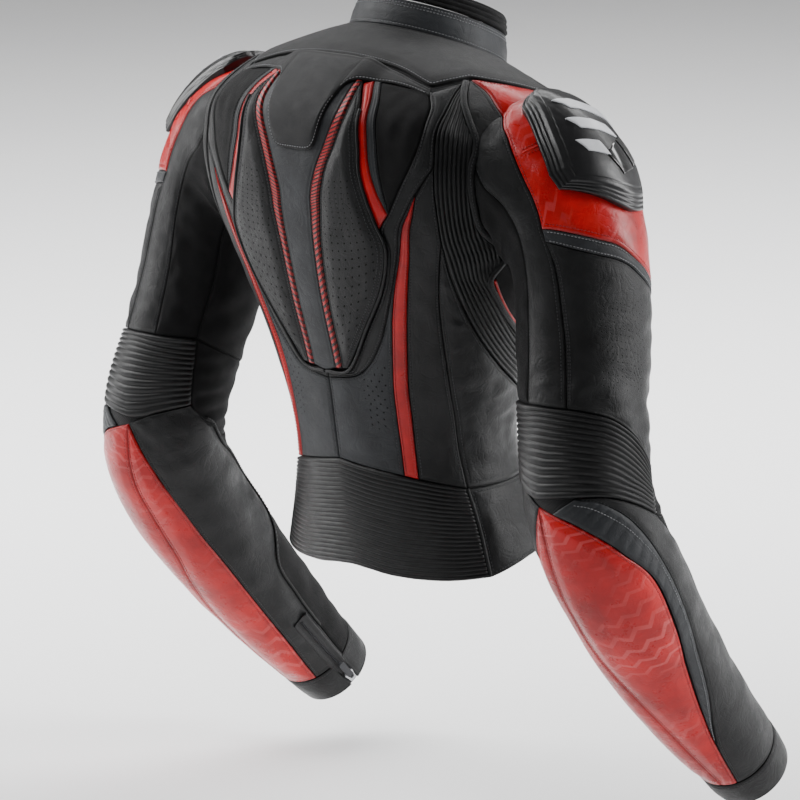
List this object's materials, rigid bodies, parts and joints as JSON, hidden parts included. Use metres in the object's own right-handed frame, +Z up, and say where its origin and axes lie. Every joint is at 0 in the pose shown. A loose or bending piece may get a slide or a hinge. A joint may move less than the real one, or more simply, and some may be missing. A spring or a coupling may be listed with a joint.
{
  "type": "leather riding jacket",
  "caption": "Fitted leather riding jacket with stand collar, padded spine hump, ribbed stretch panels, hard shoulder cups, pre-curved sleeves and zipped cuffs.",
  "frame": {"origin": "centre of the neck opening at the collar seam", "axes": "+Z up, +X towards the wearer's right, -Y out of the back"},
  "size_m": [0.7358, 0.382, 0.8201],
  "materials": {
    "red": "glossy",
    "black_leather": "semi-matte grained",
    "grey_leather": "matte grained",
    "stretch_cloth": "matte woven",
    "zip_tape": "matte",
    "cup_plastic": "satin moulded",
    "slider_metal": "brushed"
  },
  "bodies": {
    "torso": {"collar_leather": "grey_leather", "collar_soft_edge": "stretch_cloth", "yoke": "stretch_cloth", "spine_tab": "stretch_cloth", "spine_strip": "grey_leather", "waist_band": "black_leather", "front_zip": "zip_tape", "hump_side_R": "black_leather", "hump_side_L": "black_leather", "red_crescent_R": "red", "red_crescent_L": "red", "stretch_panel_R": "stretch_cloth", "stretch_panel_L": "stretch_cloth", "back_strap_R": "black_leather", "back_strap_L": "black_leather", "lower_back_R": "grey_leather", "lower_back_L": "grey_leather", "red_stripe_R": "red", "red_stripe_L": "red", "back_side_R": "black_leather", "back_side_L": "black_leather", "ribbed_panel_R": "black_leather", "ribbed_panel_L": "black_leather", "side_panel_R": "black_leather", "side_panel_L": "black_leather", "front_panel_R": "black_leather", "front_panel_L": "black_leather", "hem_side_R": "black_leather", "hem_side_L": "black_leather", "shoulder_red_R": "red", "shoulder_red_L": "red"},
    "upper_sleeve_R": {"sleeve_head_red_R": "red", "shoulder_cup_R": "cup_plastic", "sleeve_outer_R": "black_leather", "sleeve_rear_R": "black_leather", "sleeve_inner_R": "stretch_cloth", "elbow_ribs_R": "black_leather", "elbow_inner_R": "stretch_cloth"},
    "forearm_R": {"forearm_leaf_R": "red", "forearm_outer_R": "black_leather", "forearm_inner_R": "stretch_cloth", "cuff_band_R": "stretch_cloth"},
    "cuff_slider_R": {"cuff_slider_R": "slider_metal"},
    "cuff_pull_R": {"cuff_pull_R": "zip_tape"},
    "upper_sleeve_L": {"sleeve_head_red_L": "red", "shoulder_cup_L": "cup_plastic", "sleeve_outer_L": "black_leather", "sleeve_rear_L": "black_leather", "sleeve_inner_L": "stretch_cloth", "elbow_ribs_L": "black_leather", "elbow_inner_L": "stretch_cloth"},
    "forearm_L": {"forearm_leaf_L": "red", "forearm_outer_L": "black_leather", "forearm_inner_L": "stretch_cloth", "cuff_band_L": "stretch_cloth"},
    "cuff_slider_L": {"cuff_slider_L": "slider_metal"},
    "cuff_pull_L": {"cuff_pull_L": "zip_tape"},
    "front_slider": {"front_zip_slider": "slider_metal"},
    "front_pull": {"front_zip_pull": "zip_tape"}
  },
  "joints": [
    {"name": "shoulder_R", "type": "hinge", "parent": "torso", "child": "upper_sleeve_R", "pos_m": [0.185, -0.055, -0.12], "axis": [1, 0, 0], "range_deg": [-20, 35]},
    {"name": "elbow_R", "type": "hinge", "parent": "upper_sleeve_R", "child": "forearm_R", "pos_m": [0.296, -0.084, -0.408], "axis": [1, 0, 0], "range_deg": [-25, 45], "deforming": ["elbow_ribs_R", "elbow_inner_R"]},
    {"name": "shoulder_L", "type": "hinge", "parent": "torso", "child": "upper_sleeve_L", "pos_m": [-0.185, -0.055, -0.12], "axis": [1, 0, 0], "range_deg": [-20, 35]},
    {"name": "elbow_L", "type": "hinge", "parent": "upper_sleeve_L", "child": "forearm_L", "pos_m": [-0.296, -0.084, -0.408], "axis": [1, 0, 0], "range_deg": [-25, 45], "deforming": ["elbow_ribs_L", "elbow_inner_L"]},
    {"name": "front_zip_travel", "type": "slide", "parent": "torso", "child": "front_slider", "axis": [0, -0.07, -0.9975], "range_m": [0, 0.3]},
    {"name": "front_pull_swing", "type": "hinge", "parent": "front_slider", "child": "front_pull", "pos_m": [0, 0.09594, -0.084], "axis": [1, 0, 0], "range_deg": [0, 150]},
    {"name": "cuff_zip_travel_R", "type": "slide", "parent": "forearm_R", "child": "cuff_slider_R", "axis": [-0.0439, -0.7383, 0.6731], "range_m": [0, 0.08]},
    {"name": "cuff_pull_swing_R", "type": "hinge", "parent": "cuff_slider_R", "child": "cuff_pull_R", "pos_m": [0.24806, 0.14116, -0.72437], "axis": [0.2467, -0.6609, -0.7088], "range_deg": [0, 150]},
    {"name": "cuff_zip_travel_L", "type": "slide", "parent": "forearm_L", "child": "cuff_slider_L", "axis": [0.0439, -0.7383, 0.6731], "range_m": [0, 0.08]},
    {"name": "cuff_pull_swing_L", "type": "hinge", "parent": "cuff_slider_L", "child": "cuff_pull_L", "pos_m": [-0.24806, 0.14116, -0.72437], "axis": [0.2467, 0.6609, 0.7088], "range_deg": [0, 150]}
  ]
}
